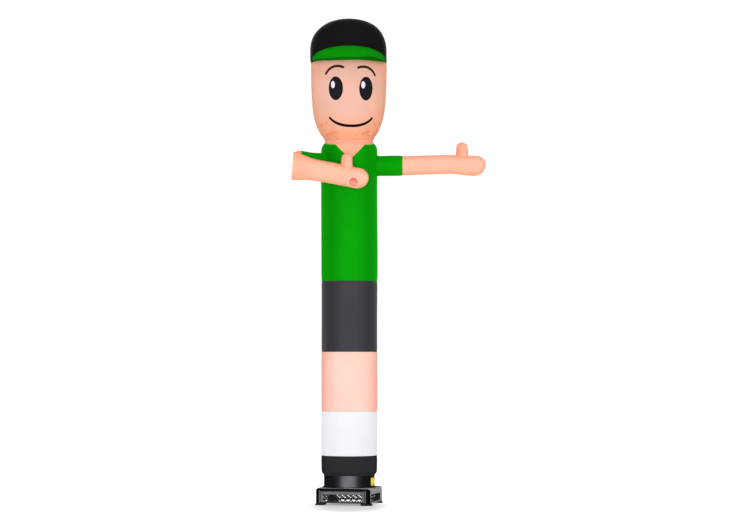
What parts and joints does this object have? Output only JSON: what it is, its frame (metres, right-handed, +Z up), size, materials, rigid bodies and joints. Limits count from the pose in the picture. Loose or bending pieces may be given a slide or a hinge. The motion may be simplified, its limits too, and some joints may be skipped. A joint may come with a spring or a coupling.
{
  "type": "inflatable air dancer and blower",
  "caption": "Blown-up fabric tube man with a cap, one arm out and one folded over its chest, standing on the round outlet of its square blower.",
  "frame": {"origin": "on the ground, below the middle of the whole's reach", "axes": "+Z up along the tube; the figure looks towards -Y and its straight arm points to +X"},
  "size_m": [1.7968, 0.8494, 4.5],
  "materials": {
    "skin_nylon": "coated nylon, satin",
    "green_nylon": "coated nylon, satin",
    "black_nylon": "coated nylon, satin",
    "charcoal_nylon": "coated nylon, satin",
    "white_nylon": "coated nylon, satin",
    "moulded_housing": "fine moulded grain",
    "lacquered_duct": "gloss black lacquer",
    "wire_guard": "semi-gloss black",
    "foot_rubber": "matt",
    "yellow_sticker": "printed film, bare"
  },
  "bodies": {
    "root": {"neck_panel": "skin_nylon", "face_panel": "skin_nylon", "leg_panel": "skin_nylon", "arm_straight": "skin_nylon", "arm_folded": "skin_nylon", "hand_straight": "skin_nylon", "hand_folded": "skin_nylon", "thumb_straight": "skin_nylon", "thumb_folded": "skin_nylon", "shirt_panel": "green_nylon", "sleeve_straight": "green_nylon", "sleeve_folded": "green_nylon", "cap_visor": "green_nylon", "cap_crown": "black_nylon", "shoe_cuff": "black_nylon", "shorts_panel": "charcoal_nylon", "sock_panel": "white_nylon", "blower_housing": "moulded_housing", "duct_ring": "lacquered_duct", "intake_guard_front": "wire_guard", "intake_guard_right": "wire_guard", "intake_guard_back": "wire_guard", "intake_guard_left": "wire_guard", "foot_front_right": "foot_rubber", "foot_back_right": "foot_rubber", "foot_back_left": "foot_rubber", "foot_front_left": "foot_rubber", "cable_gland": "foot_rubber", "duct_sticker": "yellow_sticker"}
  },
  "joints": []
}
